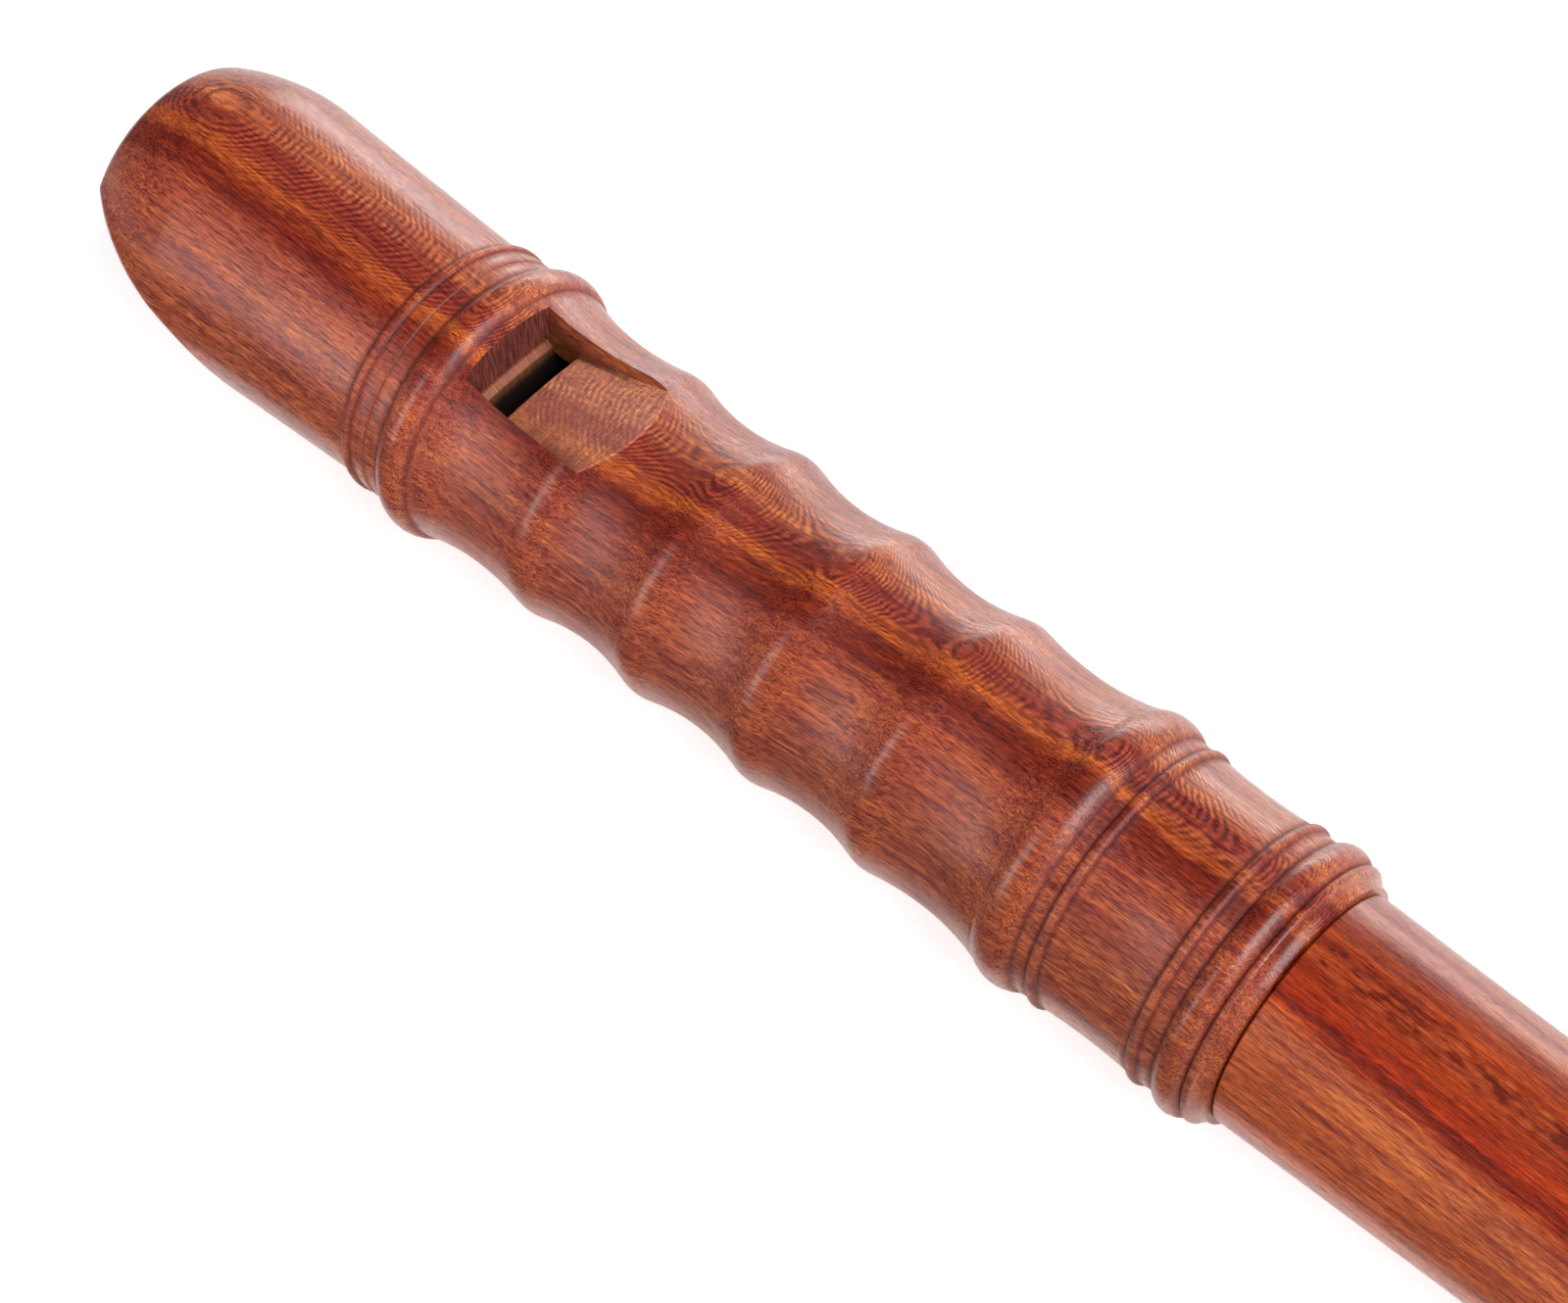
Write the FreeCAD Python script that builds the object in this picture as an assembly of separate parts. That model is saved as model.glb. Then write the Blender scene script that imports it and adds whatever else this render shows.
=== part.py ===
import FreeCAD, Part
import math
import os

from FreeCAD import Vector

# Alto recorder in three turned joints of one reddish hardwood: a head with its block, a middle
# joint and a foot. All lengths are in millimetres.
# Each piece is first turned about the x axis, with x measured from the face of the beak towards
# the foot, z up through the window and the finger holes, and y across. The whole instrument is
# then laid on its beads, with its origin under its middle.

# Windway, window and labium of the head
WINDWAY_WIDTH = 12.4
WINDWAY_EXIT_HEIGHT = 1.0
WINDWAY_ENTRY_HEIGHT = 1.7
WINDWAY_ARCH_RADIUS = 60.0
WINDWAY_FLOOR = 9.3
LABIUM_EDGE = 9.7
LABIUM_THICKNESS = 0.2
CUT_UP = 4.25
RAMP_RUN = 15.75
RAMP_RISE = 5.5
WINDOW_SETBACK = 1.3
WINDOW_SIDE_PLAY = 0.1
WINDOW_WALL_RISE = 10.0
WINDOW_WALL_LEAN = 1.0
WINDOW_WALL_FLARE = 0.8
UNDERCUT_RUN = 16.0
UNDERCUT_DROP = 2.2

# Bore of the head, and the block that plugs it
HEAD_BORE_RADIUS = 9.5
BLOCK_CLEARANCE = 0.04
BLOCK_OVERHANG = 0.4
BLOCK_CHAMFER = 0.7

# Beak: a turned end whose back is cut away in one hollow sweep
BEAK_FACE_RADIUS = 14.2
BEAK_ROUNDING_LENGTH = 13.1
BEAK_SHOULDER_RADIUS = 17.2
BEAK_TIP_HEIGHT = 6.6
BEAK_CUT_LENGTH = 31.3
BEAK_CUT_RADIUS = 80.0
BEAK_EDGE_ROUNDING = 1.5

# Barrel of the head, which flares from its neck to the beak's shoulder
BARREL_LENGTH = 30.9
BARREL_NECK_RADIUS = 15.85

# Beads, rings and bands that are turned on the head, from the barrel down
BAND_RADIUS = 16.25
FINE_RING_LENGTH = 1.5
FINE_RING_STAND = 0.45
FINE_RING_FOOT_RADIUS = 16.0
WINDOW_BAND_LENGTH = 4.3
SCORE_WIDTH = 0.3
SCORE_DEPTH = 0.13
WINDOW_BEAD_LENGTH = 4.8
WINDOW_BEAD_FOOT_RADIUS = 16.5
WINDOW_BEAD_STAND = 1.2
UPPER_BEAD_LENGTH = 5.2
UPPER_BEAD_STAND = 0.85
UPPER_BAND_LENGTH = 1.8
WAIST_LENGTH = 11.7
WAIST_HOLLOW = 0.24
WAIST_END_RADIUS = 15.9
SOCKET_BAND_LENGTH = 1.8
SOCKET_BEAD_LENGTH = 3.8
SOCKET_BEAD_STAND = 1.05
SOCKET_BEAD_FOOT_RADIUS = 15.8
LIP_RING_LENGTH = 1.1
LIP_RING_STAND = 0.35
LIP_COVE_LENGTH = 1.5
LIP_COVE_HOLLOW = 0.2
HEAD_LIP_RADIUS = 14.87

# Waves that are turned between the two beads of the head
WAVE_COUNT = 4
WAVE_PITCH = 16.6
WAVE_CREST_RADIUS = 16.07
WAVE_VALLEY_RADIUS = 14.8
WAVE_END_VALLEY_RADIUS = 15.25
WAVE_CREST_ROUNDING = 4.5
WAVE_FLANK_LENGTH = 8.35

# Sockets, tenons and the cork rings let into the tenons
TENON_LENGTH = 24.0
SOCKET_SPARE_DEPTH = 0.6
SOCKET_MOUTH_CHAMFER = 0.5
TENON_END_CHAMFER = 0.5
TENON_CLEARANCE = 0.3
CORK_CLEARANCE = 0.05
CORK_THICKNESS = 1.0
CORK_LENGTH = 14.0
CORK_SETBACK = 5.0
SHOULDER_GAP = 0.15
HEAD_SOCKET_RADIUS = 12.0
FOOT_SOCKET_RADIUS = 10.3

# Middle joint, slender in its waist, with a bore that narrows towards the foot
MIDDLE_LENGTH = 225.0
MIDDLE_TOP_RADIUS = 14.2
MIDDLE_WAIST_RADIUS = 13.0
MIDDLE_WAIST_LENGTH = 110.0
MIDDLE_END_RADIUS = 12.7
MIDDLE_BORE_TOP_RADIUS = 9.4
MIDDLE_BORE_END_RADIUS = 7.35
MIDDLE_EDGE_CHAMFER = 0.25

# Finger holes of the middle joint, placed by shares of its length from its upper shoulder, so that
# a longer or shorter instrument keeps its scale of notes
THUMB_HOLE_RADIUS = 2.9
THUMB_HOLE_SHARE = 0.211
HOLE_RADII = [2.75, 3.15, 2.75, 3.25, 3.0]
HOLE_SHARES = [0.255, 0.393, 0.535, 0.686, 0.815]
SIXTH_HOLE_RADII = [1.95, 2.25]
SIXTH_HOLE_SHARE = 0.935

# The little finger's pair of holes in the foot, past the end of the socket
SEVENTH_HOLE_RADII = [1.8, 1.9]
SEVENTH_HOLE_SETBACK = 4.65

# Both pairs have the same bridge, and all holes the same rounding under the fingertips
DOUBLE_HOLE_BRIDGE = 1.1
HOLE_EDGE_ROUNDING = 0.35

# Foot, turned like the head and ended by a bell as wide as the bead by the window
FOOT_LIP_RADIUS = 13.6
FOOT_LIP_RING_RADIUS = 14.3
FOOT_TOP_BEAD_RADIUS = 14.5
FOOT_WAIST_LENGTH = 30.0
FOOT_WAIST_HOLLOW = 0.75
FOOT_WAIST_END_RADIUS = 14.1
FOOT_BEAD_LENGTH = 4.8
FOOT_BEAD_STAND = 1.1
FOOT_WAVE_COUNT = 2
FOOT_WAVE_PITCH = 12.0
FOOT_WAVE_CREST_RADIUS = 14.6
FOOT_WAVE_VALLEY_RADIUS = 13.5
FOOT_WAVE_END_VALLEY_RADIUS = 13.6
FOOT_WAVE_FLANK_LENGTH = 6.5
BELL_NECK_RADIUS = 15.2
BELL_BEAD_LENGTH = 5.0
BELL_BAND_LENGTH = 2.4
BELL_BAND_RADIUS = 15.9
BELL_LIP_LENGTH = 6.4
BELL_LIP_STAND = 0.9
BELL_FACE_RADIUS = 15.2
FOOT_BORE_TOP_RADIUS = 7.2
FOOT_BORE_CHOKE_RADIUS = 6.5
FOOT_BORE_CHOKE_LENGTH = 30.0
FOOT_BORE_FLARE_LENGTH = 22.0
FOOT_BORE_END_RADIUS = 6.9
BELL_MOUTH_CHAMFER = 0.6

# How far every cutting shape runs past what it cuts
OVERRUN = 3.0

# How far off a surface the middle of an edge may be and still count as lying on it
EDGE_TOLERANCE = 0.01

# A curve that stands out less than this share of its chord is drawn as a parabola, since an arc
# that flat would have its centre far outside the instrument
SHALLOW_SHARE = 0.02


# Turned outlines. An outline is a list of strokes, each a length along the axis, the radius where
# it ends, and how far its middle stands out from the straight line: 0 is straight, more than 0 a
# bead and less than 0 a hollow.

def arc_stand(radius, length, step):
    """How far an arc of this radius stands out from its chord, which runs length and rises step."""
    half_chord = math.hypot(length, step) / 2
    return radius - math.sqrt(radius * radius - half_chord * half_chord)


def level_arc_radius(length, step):
    """Radius of an arc that starts level and leaves its tangent by step over length."""
    return (length * length + step * step) / (2 * step)


def turned_edges(start, strokes):
    """The edges that the strokes draw from the start point, and the point where they end."""
    edges = []
    here = start
    for length, radius, stand in strokes:
        there = Vector(here.x + length, radius, 0)
        chord = there - here
        outward = Vector(-chord.y, chord.x, 0).normalize()
        middle = (here + there) * 0.5 + outward * stand
        if stand == 0:
            edges.append(Part.makeLine(here, there))
        elif abs(stand) < SHALLOW_SHARE * chord.Length:
            parabola = Part.BezierCurve()
            parabola.setPoles([here, middle + outward * stand, there])
            edges.append(parabola.toShape())
        else:
            edges.append(Part.Arc(here, middle, there).toShape())
        here = there
    return edges, here


def turned(x, radius, strokes):
    """The full bar inside an outline that starts at x with this radius."""
    start = Vector(x, radius, 0)
    edges, end = turned_edges(start, strokes)
    near, far = Vector(start.x, 0, 0), Vector(end.x, 0, 0)
    edges += [Part.makeLine(end, far), Part.makeLine(far, near), Part.makeLine(near, start)]
    return Part.Face(Part.Wire(edges)).revolve(Vector(0, 0, 0), Vector(1, 0, 0), 360)


def wave_strokes(count, pitch, crest, valley, end_valley, flank_length, end_radii):
    """A row of rounded crests with hollows between them, each curve tangent to the next.

    The two end hollows are shallower, and their outer flanks rise to the radii of the beads beside them.
    """
    half = pitch / 2
    rounding = WAVE_CREST_ROUNDING

    def hollow(floor):
        """The hollow's radius, and how far from the crest it starts, along the axis and down."""
        drop = crest - floor
        centres = (half * half + drop * drop) / (2 * drop)
        return centres - rounding, rounding * half / centres, rounding * drop / centres

    def flank_stand(end_radius):
        rise = end_radius - end_valley
        return -arc_stand(level_arc_radius(flank_length, rise), flank_length, rise)

    hollows = [hollow(end_valley)] + [hollow(valley)] * (count - 1) + [hollow(end_valley)]
    end_arc, end_along, end_down = hollows[0]
    inner_length = half - end_along
    inner_stand = -arc_stand(end_arc, inner_length, crest - end_down - end_valley)

    strokes = [(flank_length, end_valley, flank_stand(end_radii[0]))]
    strokes.append((inner_length, crest - end_down, inner_stand))
    for before, after in zip(hollows, hollows[1:]):
        length = before[1] + after[1]
        strokes.append((length, crest - after[2], arc_stand(rounding, length, after[2] - before[2])))
        span = pitch - 2 * after[1]
        strokes.append((span, crest - after[2], -arc_stand(after[0], span, 0)))
    strokes[-1] = (inner_length, end_valley, inner_stand)
    strokes.append((flank_length, end_radii[1], flank_stand(end_radii[1])))
    return strokes


def fine_ring(foot_radius):
    return [(FINE_RING_LENGTH, foot_radius, FINE_RING_STAND)]


# Outline of the head, from the beak's face to the lip over the middle joint

def head_strokes():
    rise = BEAK_SHOULDER_RADIUS - BEAK_FACE_RADIUS
    stand = arc_stand(level_arc_radius(BEAK_ROUNDING_LENGTH, rise), BEAK_ROUNDING_LENGTH, rise)
    half_band = (WINDOW_BAND_LENGTH - SCORE_WIDTH) / 2
    strokes = [
        (BEAK_ROUNDING_LENGTH, BEAK_SHOULDER_RADIUS, stand),
        (BARREL_LENGTH, BARREL_NECK_RADIUS, 0),
        (0, FINE_RING_FOOT_RADIUS, 0),
    ]
    strokes += fine_ring(BAND_RADIUS)
    strokes += [
        (half_band, BAND_RADIUS, 0),
        (SCORE_WIDTH / 2, BAND_RADIUS - SCORE_DEPTH, 0),
        (SCORE_WIDTH / 2, BAND_RADIUS, 0),
        (half_band, BAND_RADIUS, 0),
        (WINDOW_BEAD_LENGTH, WINDOW_BEAD_FOOT_RADIUS, WINDOW_BEAD_STAND),
    ]
    strokes += wave_strokes(
        WAVE_COUNT, WAVE_PITCH, WAVE_CREST_RADIUS, WAVE_VALLEY_RADIUS, WAVE_END_VALLEY_RADIUS,
        WAVE_FLANK_LENGTH, (WINDOW_BEAD_FOOT_RADIUS, WINDOW_BEAD_FOOT_RADIUS))
    strokes += [
        (UPPER_BEAD_LENGTH, BAND_RADIUS, UPPER_BEAD_STAND),
        (UPPER_BAND_LENGTH, FINE_RING_FOOT_RADIUS, 0),
    ]
    strokes += fine_ring(FINE_RING_FOOT_RADIUS)
    strokes += [(WAIST_LENGTH, WAIST_END_RADIUS, -WAIST_HOLLOW)]
    strokes += fine_ring(FINE_RING_FOOT_RADIUS)
    strokes += [
        (SOCKET_BAND_LENGTH, SOCKET_BEAD_FOOT_RADIUS, 0),
        (SOCKET_BEAD_LENGTH, SOCKET_BEAD_FOOT_RADIUS, SOCKET_BEAD_STAND),
        (LIP_RING_LENGTH, SOCKET_BEAD_FOOT_RADIUS, LIP_RING_STAND),
        (LIP_COVE_LENGTH, HEAD_LIP_RADIUS, -LIP_COVE_HOLLOW),
    ]
    return strokes


# Outline of the foot, from its lip over the middle joint to the bell's face

def foot_strokes():
    bead_foot = FOOT_WAIST_END_RADIUS
    strokes = [
        (LIP_COVE_LENGTH, FOOT_LIP_RING_RADIUS, -LIP_COVE_HOLLOW),
        (LIP_RING_LENGTH, FOOT_TOP_BEAD_RADIUS, LIP_RING_STAND),
        (SOCKET_BEAD_LENGTH, FOOT_TOP_BEAD_RADIUS, SOCKET_BEAD_STAND),
        (SOCKET_BAND_LENGTH, FOOT_TOP_BEAD_RADIUS, 0),
    ]
    strokes += fine_ring(FOOT_TOP_BEAD_RADIUS)
    strokes += [(FOOT_WAIST_LENGTH, FOOT_WAIST_END_RADIUS, -FOOT_WAIST_HOLLOW)]
    strokes += fine_ring(bead_foot)
    strokes += [
        (UPPER_BAND_LENGTH, bead_foot, 0),
        (FOOT_BEAD_LENGTH, bead_foot, FOOT_BEAD_STAND),
    ]
    strokes += wave_strokes(
        FOOT_WAVE_COUNT, FOOT_WAVE_PITCH, FOOT_WAVE_CREST_RADIUS, FOOT_WAVE_VALLEY_RADIUS,
        FOOT_WAVE_END_VALLEY_RADIUS, FOOT_WAVE_FLANK_LENGTH, (bead_foot, BELL_NECK_RADIUS))
    bell_stand = rest_radius() - (BELL_NECK_RADIUS + BELL_BAND_RADIUS) / 2
    strokes += [
        (BELL_BEAD_LENGTH, BELL_BAND_RADIUS, bell_stand),
        (BELL_BAND_LENGTH, BELL_BAND_RADIUS, 0),
        (BELL_LIP_LENGTH, BELL_FACE_RADIUS, BELL_LIP_STAND),
    ]
    return strokes


def total_length(strokes):
    return sum(stroke[0] for stroke in strokes)


def rest_radius():
    """Radius of the bead by the window, the widest turning, on which the instrument lies."""
    return (BAND_RADIUS + WINDOW_BEAD_FOOT_RADIUS) / 2 + WINDOW_BEAD_STAND


# Places along the instrument, from the beak's face

HEAD_LENGTH = total_length(head_strokes())
WINDOW_START = (
    BEAK_ROUNDING_LENGTH + BARREL_LENGTH + FINE_RING_LENGTH + WINDOW_BAND_LENGTH + WINDOW_BEAD_LENGTH
    + WINDOW_SETBACK)
LABIUM_PLACE = WINDOW_START + CUT_UP
BLOCK_LENGTH = WINDOW_START + BLOCK_OVERHANG
MIDDLE_START = HEAD_LENGTH + SHOULDER_GAP
MIDDLE_END = MIDDLE_START + MIDDLE_LENGTH
FOOT_START = MIDDLE_END + SHOULDER_GAP
FOOT_LENGTH = total_length(foot_strokes())
TOTAL_LENGTH = FOOT_START + FOOT_LENGTH


# Cutting shapes

def arched_section(x, half_width, bottom, top):
    """A face across the instrument at x, with upright sides and a top that arches gently."""
    sag = arc_stand(WINDWAY_ARCH_RADIUS, 2 * half_width, 0)
    left_foot = Vector(x, -half_width, bottom)
    left_top = Vector(x, -half_width, top - sag)
    right_top = Vector(x, half_width, top - sag)
    right_foot = Vector(x, half_width, bottom)
    edges = [
        Part.makeLine(left_foot, left_top),
        Part.Arc(left_top, Vector(x, 0, top), right_top).toShape(),
        Part.makeLine(right_top, right_foot),
        Part.makeLine(right_foot, left_foot),
    ]
    return Part.Wire(edges)


def rod(radius, start, end):
    """A round bar along the instrument's axis."""
    return Part.makeCylinder(radius, end - start, Vector(start, 0, 0), Vector(1, 0, 0))


def windway_cut():
    """The flat channel over the block, whose roof falls from the beak's face to the window."""
    half_width = WINDWAY_WIDTH / 2
    entry = WINDWAY_FLOOR + WINDWAY_ENTRY_HEIGHT
    fall = (WINDWAY_ENTRY_HEIGHT - WINDWAY_EXIT_HEIGHT) / WINDOW_START
    far = WINDOW_START + CUT_UP / 2
    sections = [
        arched_section(-OVERRUN, half_width, 0, entry + fall * OVERRUN),
        arched_section(far, half_width, 0, entry - fall * far),
    ]
    return Part.makeLoft(sections, True, True)


def window_cut():
    """The window over the bore, with the ramp that rises from the labium's edge left standing."""
    far = LABIUM_PLACE + RAMP_RUN + OVERRUN
    top = rest_radius() + OVERRUN

    def half_width(x, z):
        lean = WINDOW_WALL_LEAN * (z - LABIUM_EDGE) / WINDOW_WALL_RISE
        flare = WINDOW_WALL_FLARE * (x - LABIUM_PLACE) / RAMP_RUN
        return WINDWAY_WIDTH / 2 + WINDOW_SIDE_PLAY + lean + flare

    levels = []
    for z in (0, top):
        near_half, far_half = half_width(WINDOW_START, z), half_width(far, z)
        corners = [
            Vector(WINDOW_START, -near_half, z),
            Vector(far, -far_half, z),
            Vector(far, far_half, z),
            Vector(WINDOW_START, near_half, z),
        ]
        levels.append(Part.makePolygon(corners + corners[:1]))
    mouth = Part.makeLoft(levels, True, True)

    length = RAMP_RUN + 2 * OVERRUN
    climb = RAMP_RISE * length / RAMP_RUN
    ramp = Part.Face(arched_section(LABIUM_PLACE, WINDWAY_WIDTH, -climb, LABIUM_EDGE))
    return mouth.cut(ramp.extrude(Vector(length, 0, climb)))


def undercut():
    """The flat under the labium, which makes its edge as thin at the sides as in the middle."""
    top = LABIUM_EDGE - LABIUM_THICKNESS
    section = Part.Face(arched_section(LABIUM_PLACE - CUT_UP / 2, WINDWAY_WIDTH / 2, 0, top))
    level = section.extrude(Vector(CUT_UP / 2, 0, 0))
    section = Part.Face(arched_section(LABIUM_PLACE, WINDWAY_WIDTH / 2, 0, top))
    return level.fuse(section.extrude(Vector(UNDERCUT_RUN, 0, -UNDERCUT_DROP)))


def beak_cut_centre():
    """Where the axis of the beak's cut crosses the plane through the window and the bore's axis."""
    share = (BEAK_CUT_LENGTH - BEAK_ROUNDING_LENGTH) / BARREL_LENGTH
    back = BEAK_SHOULDER_RADIUS + (BARREL_NECK_RADIUS - BEAK_SHOULDER_RADIUS) * share
    tip = Vector(0, 0, BEAK_TIP_HEIGHT)
    heel = Vector(BEAK_CUT_LENGTH, 0, -back)
    chord = heel - tip
    aside = Vector(chord.z, 0, -chord.x).normalize()
    reach = math.sqrt(BEAK_CUT_RADIUS ** 2 - (chord.Length / 2) ** 2)
    return (tip + heel) * 0.5 + aside * reach


def beak_cut():
    """The large cylinder across the instrument that hollows the back of the beak."""
    half_width = rest_radius() + OVERRUN
    start = beak_cut_centre() - Vector(0, half_width, 0)
    return Part.makeCylinder(BEAK_CUT_RADIUS, 2 * half_width, start, Vector(0, 1, 0))


def hole_places(x, radii, side):
    """Every hole at one place along the instrument: its radius, its foot, and its way out.

    The two small holes of a pair lie side by side, with a bridge of wood between them.
    """
    if len(radii) == 1:
        across = [0]
    else:
        across = [-DOUBLE_HOLE_BRIDGE / 2 - radii[0], DOUBLE_HOLE_BRIDGE / 2 + radii[1]]
    return [(radius, Vector(x, y, 0), Vector(0, 0, side)) for radius, y in zip(radii, across)]


def bored(solid, holes, wall_middle):
    """The solid with its finger holes cut, and their rims rounded where the fingers rest.

    wall_middle is a radius inside the wall, which tells an outer rim from the one in the bore.
    """
    for radius, foot, way_out in holes:
        solid = solid.cut(Part.makeCylinder(radius, wall_middle + OVERRUN, foot, way_out))
    rims = []
    for edge in solid.Edges:
        middle = edge.CenterOfMass
        for radius, foot, way_out in holes:
            aside = math.hypot(middle.x - foot.x, middle.y - foot.y)
            if aside < radius / 2 and middle.z * way_out.z > wall_middle:
                rims.append(edge)
    return solid.makeFillet(HOLE_EDGE_ROUNDING, rims)


# Tenons and their corks

def tenon_radius(socket_radius):
    return socket_radius - TENON_CLEARANCE


def cork_radii(socket_radius):
    """Inner and outer radius of the cork ring that fills the groove of a tenon."""
    outer = socket_radius - CORK_CLEARANCE
    return outer - CORK_THICKNESS, outer


def tenon_strokes(socket_radius):
    """Outline of a tenon, from its end to its shoulder, with the groove that its cork sits in."""
    radius = tenon_radius(socket_radius)
    groove_radius = cork_radii(socket_radius)[0] - CORK_CLEARANCE
    groove_length = CORK_LENGTH + 2 * CORK_CLEARANCE
    return [
        (TENON_END_CHAMFER, radius, 0),
        (CORK_SETBACK - TENON_END_CHAMFER, radius, 0),
        (0, groove_radius, 0),
        (groove_length, groove_radius, 0),
        (0, radius, 0),
        (TENON_LENGTH - CORK_SETBACK - groove_length, radius, 0),
    ]


def reversed_strokes(start_radius, strokes):
    """The same outline drawn from its other end."""
    radii = [start_radius] + [stroke[1] for stroke in strokes]
    turned_round = []
    for index in range(len(strokes) - 1, -1, -1):
        length, end_radius, stand = strokes[index]
        turned_round.append((length, radii[index], stand))
    return turned_round


def cork_ring(socket_radius, start):
    inner, outer = cork_radii(socket_radius)
    end = start + CORK_LENGTH
    return rod(outer, start, end).cut(rod(inner, start - OVERRUN, end + OVERRUN))


# The pieces

def head_blank():
    """The head as turned and cut to its beak, before it is bored, with the beak's edges rounded."""
    solid = turned(0, BEAK_FACE_RADIUS, head_strokes()).cut(beak_cut())
    centre = beak_cut_centre()
    edges = []
    for edge in solid.Edges:
        middle = edge.valueAt((edge.FirstParameter + edge.LastParameter) / 2)
        off_cut = abs(math.hypot(middle.x - centre.x, middle.z - centre.z) - BEAK_CUT_RADIUS)
        if min(middle.x, off_cut) < EDGE_TOLERANCE:
            edges.append(edge)
    return solid.makeFillet(BEAK_EDGE_ROUNDING, edges)


def head_joint():
    socket_depth = TENON_LENGTH + SOCKET_SPARE_DEPTH
    mouth_radius = HEAD_SOCKET_RADIUS + SOCKET_MOUTH_CHAMFER
    bore = turned(-OVERRUN, HEAD_BORE_RADIUS, [
        (OVERRUN + HEAD_LENGTH - socket_depth, HEAD_BORE_RADIUS, 0),
        (0, HEAD_SOCKET_RADIUS, 0),
        (socket_depth - SOCKET_MOUTH_CHAMFER, HEAD_SOCKET_RADIUS, 0),
        (SOCKET_MOUTH_CHAMFER, mouth_radius, 0),
        (OVERRUN, mouth_radius, 0),
    ])
    solid = head_blank()
    for tool in (bore, windway_cut(), window_cut(), undercut()):
        solid = solid.cut(tool)
    return solid


def block():
    """The plug under the windway: a round bar with a flat land on top that fills the channel."""
    half_width = WINDWAY_WIDTH / 2 - BLOCK_CLEARANCE
    radius = HEAD_BORE_RADIUS - BLOCK_CLEARANCE
    shoulder = math.sqrt(radius ** 2 - half_width ** 2)
    crown = Part.makeBox(BLOCK_LENGTH, 2 * half_width, radius, Vector(0, -half_width, shoulder))
    section = Part.Face(arched_section(0, half_width, 0, WINDWAY_FLOOR))
    land = section.extrude(Vector(BLOCK_LENGTH, 0, 0))
    solid = rod(radius, 0, BLOCK_LENGTH).cut(crown).fuse(land).removeSplitter()
    lips = []
    for edge in solid.Edges:
        middle = edge.CenterOfMass
        if BLOCK_LENGTH - middle.x < BLOCK_CLEARANCE and middle.z > WINDWAY_FLOOR - BLOCK_CHAMFER:
            lips.append(edge)
    return solid.makeChamfer(BLOCK_CHAMFER, lips).common(head_blank())


def middle_joint():
    upper_tenon = tenon_strokes(HEAD_SOCKET_RADIUS)
    lower_radius = tenon_radius(FOOT_SOCKET_RADIUS)
    lower_tenon = reversed_strokes(lower_radius - TENON_END_CHAMFER, tenon_strokes(FOOT_SOCKET_RADIUS))
    top_length = MIDDLE_WAIST_LENGTH - MIDDLE_EDGE_CHAMFER
    top_fall = MIDDLE_TOP_RADIUS - MIDDLE_WAIST_RADIUS
    top_stand = -arc_stand(level_arc_radius(top_length, top_fall), top_length, top_fall)
    end_length = MIDDLE_LENGTH - MIDDLE_WAIST_LENGTH - MIDDLE_EDGE_CHAMFER
    strokes = upper_tenon + [
        (0, MIDDLE_TOP_RADIUS - MIDDLE_EDGE_CHAMFER, 0),
        (MIDDLE_EDGE_CHAMFER, MIDDLE_TOP_RADIUS, 0),
        (top_length, MIDDLE_WAIST_RADIUS, top_stand),
        (end_length, MIDDLE_END_RADIUS, 0),
        (MIDDLE_EDGE_CHAMFER, MIDDLE_END_RADIUS - MIDDLE_EDGE_CHAMFER, 0),
        (0, lower_radius, 0),
    ] + lower_tenon
    near = MIDDLE_START - TENON_LENGTH
    solid = turned(near, tenon_radius(HEAD_SOCKET_RADIUS) - TENON_END_CHAMFER, strokes)
    bore = turned(near - OVERRUN, MIDDLE_BORE_TOP_RADIUS, [
        (OVERRUN, MIDDLE_BORE_TOP_RADIUS, 0),
        (TENON_LENGTH + MIDDLE_LENGTH + TENON_LENGTH, MIDDLE_BORE_END_RADIUS, 0),
        (OVERRUN, MIDDLE_BORE_END_RADIUS, 0),
    ])
    holes = hole_places(MIDDLE_START + THUMB_HOLE_SHARE * MIDDLE_LENGTH, [THUMB_HOLE_RADIUS], -1)
    for share, radius in zip(HOLE_SHARES, HOLE_RADII):
        holes += hole_places(MIDDLE_START + share * MIDDLE_LENGTH, [radius], 1)
    holes += hole_places(MIDDLE_START + SIXTH_HOLE_SHARE * MIDDLE_LENGTH, SIXTH_HOLE_RADII, 1)
    return bored(solid.cut(bore), holes, (MIDDLE_BORE_TOP_RADIUS + MIDDLE_END_RADIUS) / 2)


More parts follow.
